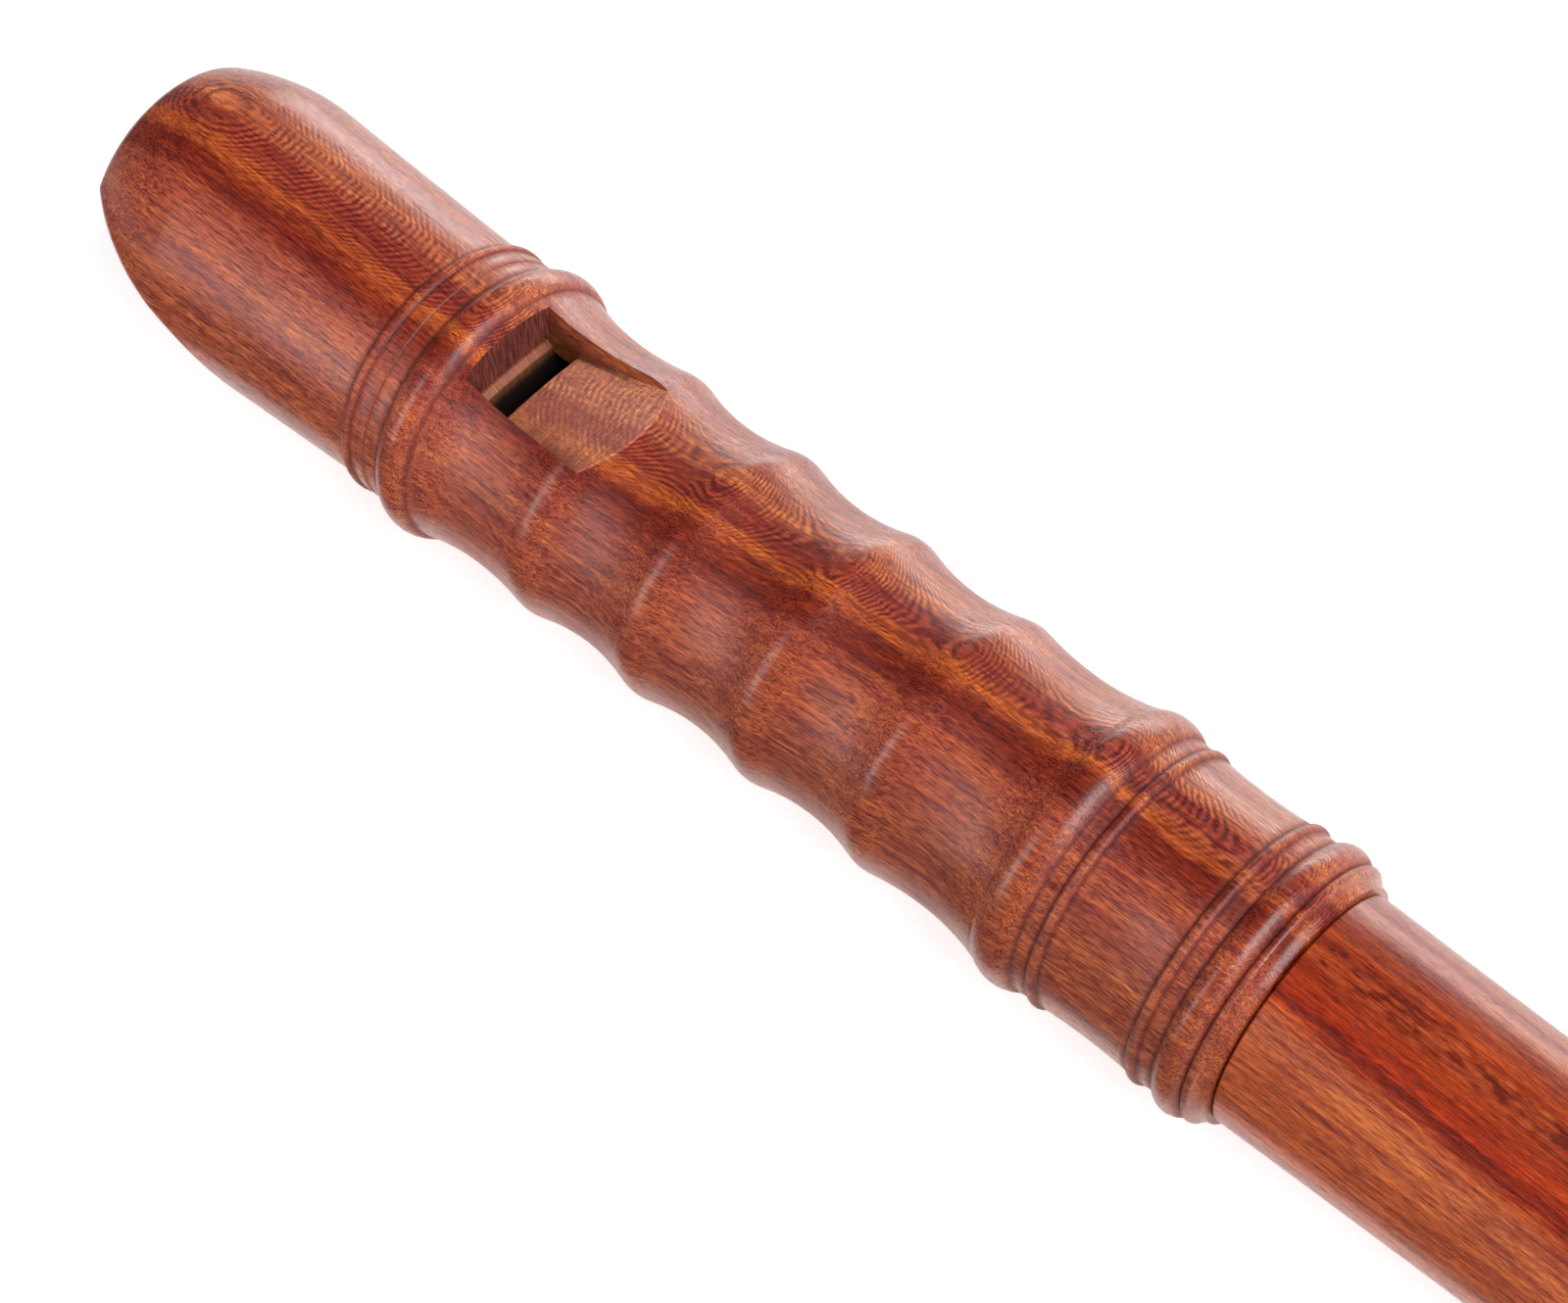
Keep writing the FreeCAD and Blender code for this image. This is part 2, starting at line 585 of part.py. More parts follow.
def foot_joint():
    socket_depth = TENON_LENGTH + SOCKET_SPARE_DEPTH
    socket_mouth = FOOT_SOCKET_RADIUS + SOCKET_MOUTH_CHAMFER
    bell_mouth = FOOT_BORE_END_RADIUS + BELL_MOUTH_CHAMFER
    taper_length = socket_depth + FOOT_BORE_CHOKE_LENGTH + FOOT_BORE_FLARE_LENGTH
    bore = turned(FOOT_START - OVERRUN, socket_mouth, [
        (OVERRUN, socket_mouth, 0),
        (SOCKET_MOUTH_CHAMFER, FOOT_SOCKET_RADIUS, 0),
        (socket_depth - SOCKET_MOUTH_CHAMFER, FOOT_SOCKET_RADIUS, 0),
        (0, FOOT_BORE_TOP_RADIUS, 0),
        (FOOT_BORE_CHOKE_LENGTH, FOOT_BORE_CHOKE_RADIUS, 0),
        (FOOT_BORE_FLARE_LENGTH, FOOT_BORE_END_RADIUS, 0),
        (FOOT_LENGTH - taper_length - BELL_MOUTH_CHAMFER, FOOT_BORE_END_RADIUS, 0),
        (BELL_MOUTH_CHAMFER, bell_mouth, 0),
        (OVERRUN, bell_mouth, 0),
    ])
    solid = turned(FOOT_START, FOOT_LIP_RADIUS, foot_strokes()).cut(bore)
    holes = hole_places(FOOT_START + socket_depth + SEVENTH_HOLE_SETBACK, SEVENTH_HOLE_RADII, 1)
    return bored(solid, holes, (FOOT_BORE_TOP_RADIUS + FOOT_TOP_BEAD_RADIUS) / 2)


UPPER_CORK_START = MIDDLE_START - TENON_LENGTH + CORK_SETBACK + CORK_CLEARANCE
LOWER_CORK_START = MIDDLE_END + TENON_LENGTH - CORK_SETBACK - CORK_CLEARANCE - CORK_LENGTH

PIECES = {
    "head_joint": head_joint(),
    "block": block(),
    "upper_tenon_cork": cork_ring(HEAD_SOCKET_RADIUS, UPPER_CORK_START),
    "middle_joint": middle_joint(),
    "lower_tenon_cork": cork_ring(FOOT_SOCKET_RADIUS, LOWER_CORK_START),
    "foot_joint": foot_joint(),
}

os.makedirs("parts", exist_ok=True)
for name, solid in PIECES.items():
    solid.translate(Vector(-TOTAL_LENGTH / 2, 0, rest_radius()))
    solid.exportStep("parts/%s.step" % name)
    print("%-17s %d solid, %6.0f mm3, valid %s" % (
        name, len(solid.Solids), solid.Volume, solid.isValid()))
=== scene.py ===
# %% [markdown]
# # An alto recorder on a pale table
#
# The instrument is six pieces of wood and cork: a head with its block, a middle joint, a foot,
# and a cork ring on each tenon. Their solids come from the frame, in metres, lying along x with
# the window and the finger holes up. This lesson gives them their finish and their light.

import bpy
import numpy as np
from mathutils import Matrix, Vector

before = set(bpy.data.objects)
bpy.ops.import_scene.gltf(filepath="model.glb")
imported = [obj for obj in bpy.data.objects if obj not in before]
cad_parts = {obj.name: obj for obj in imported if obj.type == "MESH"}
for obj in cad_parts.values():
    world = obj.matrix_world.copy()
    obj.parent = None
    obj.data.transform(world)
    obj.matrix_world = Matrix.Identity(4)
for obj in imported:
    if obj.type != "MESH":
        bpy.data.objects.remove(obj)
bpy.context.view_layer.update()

print("pieces:", ", ".join(sorted(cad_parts)))

# %% [markdown]
# ## The camera
#
# A camera can be placed by trial, or worked out from what the picture shows. Here the ends of
# the turned beads gave it: a ring seen at a slant is an ellipse, and how fast the ellipses shrink
# along the bar gives the distance. The camera stands over the player's right hand side of the
# instrument, so the bar runs down to the right.

# %% Stand the camera
JOINT_LINE_X = -0.07815
CAMERA_PLACE = Vector((JOINT_LINE_X + 0.0863, -0.1632, 0.3583))
LENS_MM = 86.13
SENSOR_MM = 36.0
NEAREST_SEEN = 0.01
right = Vector((0.7388, 0.6736, -0.0182)).normalized()
back = Vector((0.3798, -0.3939, 0.8370))
back = (back - right * back.dot(right)).normalized()
up = back.cross(right)

camera_data = bpy.data.cameras.new("camera")
camera_data.lens = LENS_MM
camera_data.sensor_width = SENSOR_MM
camera_data.sensor_fit = "HORIZONTAL"
camera_data.clip_start = NEAREST_SEEN
camera = bpy.data.objects.new("camera", camera_data)
turn = Matrix((right, up, back)).transposed().to_4x4()
camera.matrix_world = Matrix.Translation(CAMERA_PLACE) @ turn
bpy.context.scene.collection.objects.link(camera)
bpy.context.scene.camera = camera
print("camera looks down by %.1f degrees" % np.degrees(np.arcsin(back.z)))

# %% [markdown]
# ## The room
#
# Studio light for oiled wood is broad and soft: the wood then shows long pale sheens along its
# limbs and small ones on its beads, and its colour stays deep between them. A table that glows
# a little and a white sky do most of that, and four lamps add the direction. The last of them
# is narrow and tall. It stands near the beak and draws a thin pale line on each crest of the
# waves, which a broad lamp would spread into a patch.

# %% Sheets for the room
def added(name, mesh):
    """An object for a mesh, put into the scene."""
    piece = bpy.data.objects.new(name, mesh)
    bpy.context.scene.collection.objects.link(piece)
    return piece


def level_sheet(name, low, high, height):
    """A level rectangle from one corner to the other."""
    mesh = bpy.data.meshes.new(name)
    near = [(*low, height), (high[0], low[1], height)]
    far = [(*high, height), (low[0], high[1], height)]
    mesh.from_pydata(near + far, [], [(0, 1, 2, 3)])
    return added(name, mesh)


def round_wall(name, radius, height, sides=96):
    """An upright wall all round, seen from inside: a circle, and the same circle higher up."""
    angle = np.linspace(0.0, 2 * np.pi, sides, endpoint=False)
    ring = np.column_stack((radius * np.cos(angle), radius * np.sin(angle), np.zeros(sides)))
    corners = np.vstack((ring, ring + (0.0, 0.0, height)))
    here = np.arange(sides)
    there = (here + 1) % sides
    faces = np.column_stack((there, here, here + sides, there + sides))
    mesh = bpy.data.meshes.new(name)
    mesh.from_pydata(corners.tolist(), [], faces.tolist())
    return added(name, mesh)


TABLE_HALF = 6.0
WALL_RADIUS = 5.5
WALL_HEIGHT = 6.0
CARD_LOW = (-0.35, -0.523)
CARD_HIGH = (0.15, -0.023)
CARD_HEIGHT = 0.0005

table = level_sheet("table", (-TABLE_HALF, -TABLE_HALF), (TABLE_HALF, TABLE_HALF), 0.0)

# A pale wall hides the end of the table from a low camera. It gives no light.
wall = round_wall("pale wall", WALL_RADIUS, WALL_HEIGHT)
wall.visible_diffuse = wall.visible_glossy = wall.visible_shadow = False

# A black card lies on the near side, and only the sheen sees it. It keeps the near edge dark.
card = level_sheet("black card", CARD_LOW, CARD_HIGH, CARD_HEIGHT)
card.visible_camera = card.visible_diffuse = card.visible_shadow = False
print("sheets: a table, a pale wall and a black card")

# %% Hang the lights
WHITE = (1.0, 1.0, 1.0, 1.0)
SKY_STRENGTH = 0.10


def soft_box(name, place, aim, size, watts):
    """A rectangular lamp at a place, turned so that it shines on the aim."""
    data = bpy.data.lights.new(name, "AREA")
    data.shape = "RECTANGLE"
    data.size, data.size_y = size
    data.energy = watts
    lamp = bpy.data.objects.new(name, data)
    lamp.location = place
    lamp.rotation_euler = (Vector(aim) - Vector(place)).to_track_quat("-Z", "Y").to_euler()
    bpy.context.scene.collection.objects.link(lamp)


world = bpy.data.worlds.new("white room")
bpy.context.scene.world = world
world.use_nodes = True
sky = world.node_tree.nodes["Background"]
sky.inputs["Color"].default_value = WHITE
sky.inputs["Strength"].default_value = SKY_STRENGTH
bpy.context.scene.view_settings.view_transform = "Standard"

# Each lamp's name, its place, what it shines on, its width and height in metres, and its watts
lamps = [
    ("overhead", (0.50, 0.05, 0.85), (-0.1, 0.0, 0.0), (0.9, 0.7), 17.0),
    ("behind", (-0.40, 0.70, 0.08), (-0.12, 0.0, 0.02), (0.6, 0.13), 2.6),
    ("hand side", (0.45, -0.60, 0.35), (-0.12, 0.0, 0.02), (0.7, 0.4), 0.9),
    ("beak side", (-0.40, -0.50, 0.27), (-0.13, 0.0, 0.02), (0.15, 0.62), 1.6),
]
for lamp in lamps:
    soft_box(*lamp)
    print("%s lamp: %.1f watts" % (lamp[0], lamp[-1]))

# %% [markdown]
# ## Writing a finish as sums
#
# A finish is a net of small nodes, and drawing it by hand hides the thought. One small class
# lets a sum of sockets be written as Python writes a sum of numbers. Each sign adds its node.

# %% A socket that can be added and multiplied
class Value:
    """A node socket that numbers and other sockets can be combined with."""

    def __init__(self, finish, socket):
        self.finish = finish
        self.socket = socket

    def math(self, operation, *others):
        """A Math node that starts with this value."""
        return self.finish.math(operation, self, *others)

    def __add__(self, other):
        return self.math("ADD", other)

    def __sub__(self, other):
        return self.math("SUBTRACT", other)

    def __mul__(self, other):
        return self.math("MULTIPLY", other)

    def __truediv__(self, other):
        return self.math("DIVIDE", other)

    def __pow__(self, other):
        return self.math("POWER", other)

    def __rsub__(self, other):
        return self.finish.math("SUBTRACT", other, self)

    def __rtruediv__(self, other):
        return self.finish.math("DIVIDE", other, self)

    def __rpow__(self, other):
        return self.finish.math("POWER", other, self)

    __radd__ = __add__
    __rmul__ = __mul__

    def __neg__(self):
        return 0.0 - self

    def __abs__(self):
        return self.math("ABSOLUTE")

    def between(self, low, high):
        """0 under low, 1 over high, and a smooth rise from one to the other."""
        settings = {"interpolation_type": "SMOOTHSTEP"}
        inputs = {"Value": self, "From Min": low, "From Max": high, "To Min": 0.0, "To Max": 1.0}
        return self.finish.node("ShaderNodeMapRange", settings, inputs)

    def inside(self, low, high, soft):
        """1 from low to high and 0 outside, with each edge as soft as the last number says."""
        return self.between(low - soft, low + soft) * (1.0 - self.between(high - soft, high + soft))


print("signs that add a node: + - * / **")


# %% A finish that adds its own nodes
class Finish:
    """A material with one shader, whose nodes are added by name."""

    # A Mix node has sockets for every kind of data. These are the places of those for colours.
    MIX_SHARE, MIX_FIRST, MIX_SECOND, MIX_RESULT = 0, 6, 7, 2

    def __init__(self, name):
        self.material = bpy.data.materials.new(name)
        self.material.use_nodes = True
        self.tree = self.material.node_tree
        self.shader = self.tree.nodes["Principled BSDF"]
        self.place = self.node("ShaderNodeTexCoord", {}, {}, "Object")

    def node(self, kind, settings, inputs, output=0):
        """Add a node, set it, fill or link its inputs, and hand back one output."""
        made = self.tree.nodes.new(kind)
        for name, value in settings.items():
            if name == "stops":
                self.fill_ramp(made.color_ramp, value)
            else:
                setattr(made, name, value)
        for key, value in inputs.items():
            self.feed(made.inputs[key], value)
        return Value(self, made.outputs[output])

    def feed(self, socket, value):
        """Link a value to a socket, or set the socket to a number or a colour."""
        if isinstance(value, Value):
            self.tree.links.new(value.socket, socket)
        else:
            socket.default_value = value

    @staticmethod
    def fill_ramp(ramp, stops):
        while len(ramp.elements) < len(stops):
            ramp.elements.new(1.0)
        for element, (position, colour) in zip(ramp.elements, stops):
            element.position = position
            element.color = tuple(colour) + (1.0,)

    def math(self, operation, *numbers):
        return self.node("ShaderNodeMath", {"operation": operation}, dict(enumerate(numbers)))

    def axes(self, point):
        """The x, y and z of a point, as three values."""
        split = self.node("ShaderNodeSeparateXYZ", {}, {"Vector": point})
        outputs = split.socket.node.outputs
        return [Value(self, outputs[name]) for name in ("X", "Y", "Z")]

    def point(self, x, y, z):
        return self.node("ShaderNodeCombineXYZ", {}, {"X": x, "Y": y, "Z": z})

    def noise(self, point, scale, detail=2.0, roughness=0.5):
        """A cloudy value around 0, at most about 0.5 either way."""
        inputs = {"Vector": point, "Scale": scale, "Detail": detail, "Roughness": roughness}
        return self.node("ShaderNodeTexNoise", {}, inputs) - 0.5

    def mix(self, share, first, second):
        """The first colour where the share is 0, and the second where it is 1."""
        inputs = {self.MIX_SHARE: share, self.MIX_FIRST: first, self.MIX_SECOND: second}
        return self.node("ShaderNodeMix", {"data_type": "RGBA"}, inputs, self.MIX_RESULT)

    def ramp(self, value, stops):
        return self.node("ShaderNodeValToRGB", {"stops": stops}, {"Fac": value})

    def set(self, **inputs):
        """Give the shader its values, colours and links by the names of its sockets."""
        for name, value in inputs.items():
            self.feed(self.shader.inputs[name.replace("_", " ")], value)

    def bump(self, height, metres):
        """A relief whose height runs from 0 to so many metres."""
        inputs = {"Strength": 1.0, "Distance": metres, "Height": height}
        return self.node("ShaderNodeBump", {}, inputs)


print("the Principled shader carries every finish")

# %% [markdown]
# ## The table
#
# The table is there to catch the shadow. It is matte white and it also glows a little. That glow is
# painted
# light: it keeps the table's shadows pale and lights the wood from below. A sheet of paper has no
# other pattern from this far away.

# %% Whiten the table
TABLE_GLOW = 0.72
WALL_GLOW = 0.76

table_finish = Finish("white table")
table_finish.set(Base_Color=(0.6, 0.6, 0.6, 1.0), Roughness=0.7)
# Painted light: the table glows, which keeps its shadows pale and lights the wood from below.
table_finish.set(Emission_Color=WHITE, Emission_Strength=TABLE_GLOW)
table.data.materials.append(table_finish.material)

card_finish = Finish("black card")
card_finish.set(Base_Color=(0.01, 0.01, 0.01, 1.0), Roughness=1.0)
card.data.materials.append(card_finish.material)

wall_finish = Finish("pale wall")
wall_finish.set(Base_Color=(0.0, 0.0, 0.0, 1.0), Roughness=1.0)
wall_finish.set(Emission_Color=WHITE, Emission_Strength=WALL_GLOW)
wall.data.materials.append(wall_finish.material)
print("the table glows a little, so its shadows stay pale")

# %% [markdown]
# ## The wood
#
# A picture of wood wrapped round a turned piece gives itself away on every bead. Real wood is
# solid: the lathe cuts through layers that were there before, so the same layers show as long
# stripes on the side and as rings on top of a bead. A solid pattern does that by itself. It asks
# where a point lies inside the log, and not where it lies on the skin.
#
# This wood has five patterns on top of each other. Broad colour bands stand upright along the
# bar, from gold to dark red. Streaks of plum and amber lie in them. Thin growth layers lie nearly
# flat, rise a little towards the foot, and show as nested arcs where the surface grazes them.
# Fibres run along the bar. Pores are the short dark dashes among them, and a few are wider.

# %% Places inside the log
AXIS_HEIGHT_MM = 17.575
MM_PER_METRE = 1000.0


def log_place(finish):
    """A point's x, y and z in millimetres from the middle of the bore."""
    settings = {"operation": "MULTIPLY_ADD"}
    inputs = {0: finish.place, 1: (MM_PER_METRE,) * 3, 2: (0.0, 0.0, -AXIS_HEIGHT_MM)}
    return finish.axes(finish.node("ShaderNodeVectorMath", settings, inputs))


def clouds(finish, place, lengths, shift, detail=2.0, roughness=0.5):
    """Clouds that are as long along x, y and z as the three lengths in millimetres."""
    x, y, z = place
    point = finish.point(x / lengths[0] + shift, y / lengths[1] + shift, z / lengths[2])
    return finish.noise(point, 1.0, detail, roughness)


def tinted(finish, colour, tint):
    """A colour times a tint."""
    return finish.node("ShaderNodeVectorMath", {"operation": "MULTIPLY"}, {0: colour, 1: tint})


def scaled(finish, colour, factor):
    """A colour made darker or lighter by a varying factor."""
    inputs = {0: colour, "Scale": factor}
    return finish.node("ShaderNodeVectorMath", {"operation": "SCALE"}, inputs)


print("the bore's axis lies %.3f mm over the table" % AXIS_HEIGHT_MM)

# %% Bands and streaks
HALF_LOG_MM = 18.0
PLUM = (0.64, 0.50, 0.80)
AMBER = (1.28, 1.46, 1.15)

# Broad streaks and then fine ones: their lengths in millimetres, their shift and their strength
STREAKS = [((26.0, 1.4, 1.4), 17.0, 0.6), ((15.0, 0.42, 0.42), 21.0, 0.85)]


def banded(finish, distance, colours):
    """Colours by their distance across the log, which is as wide as the ramp is long."""
    stops = [(place_mm / (2 * HALF_LOG_MM) + 0.5, colour) for place_mm, colour in colours]
    return finish.ramp(distance / (2 * HALF_LOG_MM) + 0.5, stops)


def streaked(finish, log, colour, seed):
    """Long streaks, plum where the clouds are thick and amber where they are thin."""
    for lengths, shift, strength in STREAKS:
        streak = clouds(finish, log, lengths, seed + shift, 2.0, 0.6)
        plum = streak.between(0.0, 0.15) * strength
        colour = finish.mix(plum, colour, tinted(finish, colour, PLUM))
        amber = (-streak).between(0.0, 0.15) * strength
        colour = finish.mix(amber, colour, tinted(finish, colour, AMBER))
    return colour


print("broad and fine streaks:", len(STREAKS))

# %% The wood as it grew
DARK_FIBRE = (0.48, 0.34, 0.40)
LIGHT_FIBRE = (1.50, 1.66, 1.60)


def grown_wood(
    finish, log, seed, colours, rise, lean, layer_mm, ripple_low, ripple_high, fibre_mm, contrast
):
    """The colour, the relief, the fibres and the pores of a solid wood.

    log: a point's place along, across and up the log that the piece was cut from
    colours: the wood's colours by their distance across the log in millimetres
    rise, lean: slopes of the growth layers along and across the log
    layer_mm: how thick a growth layer is
    ripple_low, ripple_high: distances across between which the layers show as lines
    fibre_mm: how long a fibre is
    contrast: how far the fibres differ in colour, up to 1
    """
    along, across, up = log
    slow = clouds(finish, log, (18.0, 9.0, 9.0), seed + 7.0)
    depth = up + across * lean - along * rise + slow * 0.4
    grain = (along + up * rise, across, depth)

    wander = clouds(finish, log, (50.0, 12.0, 12.0), seed, 3.0)
    feather = clouds(finish, grain, (3.5, 1.2, 0.22), seed + 3.0)
    distance = across + wander * 1.4 + feather * 2.6
    colour = streaked(finish, log, banded(finish, distance, colours), seed)

    quick = clouds(finish, log, (1.8, 1.0, 1.0), seed + 9.0)
    wave = ((depth + quick * 0.16) * (2 * np.pi / layer_mm)).math("SINE")
    zone = distance.between(ripple_low - 1.5, ripple_low + 1.5)
    zone = zone * (1.0 - distance.between(ripple_high - 2.0, ripple_high + 2.0))
    patch = clouds(finish, log, (4.0, 1.6, 1.6), seed + 11.0).between(-0.22, 0.2)
    ripple = wave * patch * (zone * 0.9 + 0.1)

    fibre = clouds(finish, log, (fibre_mm, 0.11, 0.11), seed + 13.0, 2.0, 0.6)
    pore = clouds(finish, log, (fibre_mm * 0.6, 0.13, 0.13), seed + 19.0, 1.0)
    pore = pore.between(0.10, 0.20)
    vessel = clouds(finish, log, (fibre_mm * 2.5, 0.3, 0.3), seed + 27.0, 2.0, 0.7)
    vessel = vessel.between(0.17, 0.22)

    share = (fibre * (1.0 - zone * 0.45) + ripple * 0.17).between(-0.18, 0.18)
    share = (share - 0.5) * contrast + 0.5
    dark = tinted(finish, colour, DARK_FIBRE)
    light = tinted(finish, colour, LIGHT_FIBRE)
    holes = (1.0 - pore * 0.45) * (1.0 - vessel * 0.6)
    colour = scaled(finish, finish.mix(share, dark, light), holes)
    relief = ripple * 0.2 + fibre * 1.2 - pore * 0.6 - vessel * 0.6
    return colour, relief, fibre, pore


print("fibres run from %s to %s of the wood's colour" % (DARK_FIBRE, LIGHT_FIBRE))

# %% Mottles and oil
DARK_MOTTLE = (0.50, 0.38, 0.60)
PALE_MOTTLE = (1.15, 1.45, 2.0)
RELIEF_DEPTH = 0.000014
OIL_IOR = 1.43
OIL_ROUGHNESS = 0.28


def mottled(finish, log, colour, low, high, strength, seed):
    """A row of dark and pale patches between two distances across the log."""
    row = log[1].inside(low, high, 0.6) * strength
    patch = clouds(finish, log, (2.0, 1.1, 1.1), seed, 1.0)
    dark = patch.between(0.03, 0.09) * row
    colour = finish.mix(dark, colour, tinted(finish, colour, DARK_MOTTLE))
    pale = (-patch).between(0.0, 0.06) * row
    return finish.mix(pale, colour, tinted(finish, colour, PALE_MOTTLE))


def oil(finish, colour, relief, fibre, pore, dull=0.0):
    """Oiled and rubbed: a soft sheen that the fibres and pores break up.

    dull: how much roughness is left where the rubbing cloth hardly reached
    """
    finish.set(
        Base_Color=colour,
        Roughness=fibre * 0.3 + pore * 0.2 + dull + OIL_ROUGHNESS,
        Normal=finish.bump(relief, RELIEF_DEPTH),
        IOR=OIL_IOR,
    )
    return finish


print("the relief of the oiled wood is %.3f mm deep" % (RELIEF_DEPTH * MM_PER_METRE))

# %% [markdown]
# ## The head and the foot
#
# The head was cut from a log with a gold line beside a purple band, and the growth layers cross
# both as fine ripples. The lathe shows them as long ovals on the beak and as arcs on the waves.
# The line bends a little on its way to the socket, so the log is bent before it is asked.
#
# The marks of the tools come on top. The scraped ramp is paler and crossed by fine lines, and the
# upright wall of the window is dark end grain. The window's sides and the bore get painted shade,
# because little light gets in there. Each groove is tinted darker, partly for the oil and dust in
# it and partly as painted shade. The rubbing cloth passes over it and over the hollows of the
# waves, so both stay duller than the crests.

# %% The log of the head
BEAK_FACE_X = -245.75
WINDOW_WALL_X = BEAK_FACE_X + 55.9
LABIUM_X = BEAK_FACE_X + 60.15

head_log = {
    "rise": 0.15, "lean": 0.15, "layer_mm": 0.19, "ripple_low": -2.6, "ripple_high": 7.0,
    "fibre_mm": 2.0, "contrast": 1.0,
    "colours": [
        (-18.0, (0.27, 0.050, 0.018)), (-15.4, (0.29, 0.056, 0.020)),
        (-13.6, (0.285, 0.048, 0.021)), (-11.7, (0.31, 0.060, 0.024)),
        (-9.8, (0.30, 0.052, 0.025)), (-8.0, (0.245, 0.040, 0.021)),
        (-6.6, (0.175, 0.018, 0.008)), (-4.6, (0.175, 0.017, 0.006)),
        (-3.3, (0.355, 0.062, 0.015)), (-2.3, (0.375, 0.070, 0.016)),
        (-1.3, (0.24, 0.031, 0.016)), (1.2, (0.235, 0.030, 0.016)),
        (2.5, (0.38, 0.085, 0.034)), (6.4, (0.40, 0.100, 0.042)),
        (11.0, (0.32, 0.065, 0.030)), (18.0, (0.30, 0.058, 0.028)),
    ],
}


def from_beak(x, start_mm, end_mm):
    """A smooth rise from 0 to 1 between two distances from the beak."""
    return x.between(BEAK_FACE_X + start_mm, BEAK_FACE_X + end_mm)


def bent(x, y, z):
    """The log's lines lean one way on the barrel and come back further on the waves."""
    bend = from_beak(x, 70.0, 128.0) * 4.1 - from_beak(x, 28.0, 68.0) * 1.35
    return x, y - bend, z


print("bands of colour in the head:", len(head_log["colours"]))

# %% The window's marks
LABIUM_HEIGHT = 9.7
RAMP_RISE = 5.5
RAMP_RUN = 15.75
RAMP_HALF_WIDTH = 6.5
RAMP_FLARE = 0.05
ARCH_RADIUS = 60.0
SCRAPED = (0.56, 0.25, 0.155, 1.0)
SCRAPED_TINT = (1.9, 2.5, 3.9)
DARK_END_GRAIN = (0.055, 0.012, 0.010, 1.0)
PALE_END_GRAIN = (0.22, 0.060, 0.045, 1.0)


def scraped_ramp(finish, place, colour, seed):
    """Paler wood on the ramp, crossed by the scraper's fine lines.

    The ramp rises straight from the labium and is arched across, by y squared over twice the
    arch's radius. A point lies on it where its height differs from that by less than a hair.
    """
    x, y, z = place
    sag = y * y / (2 * ARCH_RADIUS)
    gap = abs(z + sag - (x - LABIUM_X) * (RAMP_RISE / RAMP_RUN) - LABIUM_HEIGHT)
    beside = abs(y) - (x - LABIUM_X) * RAMP_FLARE
    ramp = (1.0 - gap.between(0.05, 0.15)) * x.between(LABIUM_X - 0.1, LABIUM_X)
    ramp = ramp * z.between(9.0, 9.3)
    ramp = ramp * (1.0 - beside.between(RAMP_HALF_WIDTH, RAMP_HALF_WIDTH + 0.1))

    scrape = clouds(finish, place, (0.22, 6.0, 6.0), seed + 23.0).between(-0.15, 0.15)
    pale = finish.mix(0.4, tinted(finish, colour, SCRAPED_TINT), SCRAPED)
    pale = scaled(finish, pale, scrape * 0.35 + 0.65)
    return finish.mix(ramp * 0.9, colour, pale)


def end_grain_wall(finish, place, colour, seed):
    """Dark upright end grain on the wall that the windway opens through."""
    wall = 1.0 - abs(place[0] - WINDOW_WALL_X).between(0.03, 0.05)
    comb = clouds(finish, place, (9.0, 0.16, 3.0), seed + 29.0).between(-0.2, 0.2)
    return finish.mix(wall, colour, finish.mix(comb, DARK_END_GRAIN, PALE_END_GRAIN))


print("the ramp climbs %.1f mm in %.2f mm" % (RAMP_RISE, RAMP_RUN))

# %% Where little light gets in
WINDOW_SIDE_Y = 6.15
HEAD_BORE_EDGE = 9.52
FOOT_BORE_EDGE = 7.22


def shaded_window(finish, place, radius, colour):
    """The window's side walls, darker towards the bore."""
    x, y, z = place
    side = abs(y).between(WINDOW_SIDE_Y, WINDOW_SIDE_Y + 0.1)
    side = side * x.between(WINDOW_WALL_X - 0.1, WINDOW_WALL_X)
    side = side * (1.0 - x.between(LABIUM_X + 16.5, LABIUM_X + 17.0))
    return scaled(finish, colour, 1.0 - side * (1.0 - radius.between(12.0, 15.2)) * 0.6)


def dark_bore(finish, x, radius, colour):
    """Nearly black inside the bore, which is wider in the head than in the foot."""
    edge = HEAD_BORE_EDGE - x.between(0.0, 1.0) * (HEAD_BORE_EDGE - FOOT_BORE_EDGE)
    bore = 1.0 - radius.between(edge, edge + 0.04)
    return scaled(finish, colour, 1.0 - bore * 0.88)


print("the bore is dark up to %.2f mm from its axis" % HEAD_BORE_EDGE)

# %% Grooves and hollows
FIRST_CREST_X = -174.35
CREST_PITCH = 16.6
CREST_COUNT = 4
LAST_CREST_X = FIRST_CREST_X + (CREST_COUNT - 1) * CREST_PITCH
SCORE_X = BEAK_FACE_X + 47.65
GROOVE_TINT = (0.60, 0.36, 0.34)
FAR_MM = 99.0

# How far from the beak each turned groove lies
grooves = {
    "window bead": [44.0, 45.5, 49.8, 54.6],
    "upper bead": [142.9, 144.7, 146.2],
    "socket": [157.9, 159.4, 161.2, 165.0],
    "top of the foot": [395.5, 399.3, 401.1, 402.6],
    "waist bead of the foot": [432.6, 434.1, 435.9, 440.7],
    "bell": [477.7, 482.7],
}


def from_groove(x):
    """How far a point lies from the nearest turned groove, in millimetres along the bar."""
    nearest = FAR_MM
    for places in grooves.values():
        for place_mm in places:
            nearest = abs(x - (BEAK_FACE_X + place_mm)).math("MINIMUM", nearest)
    return nearest


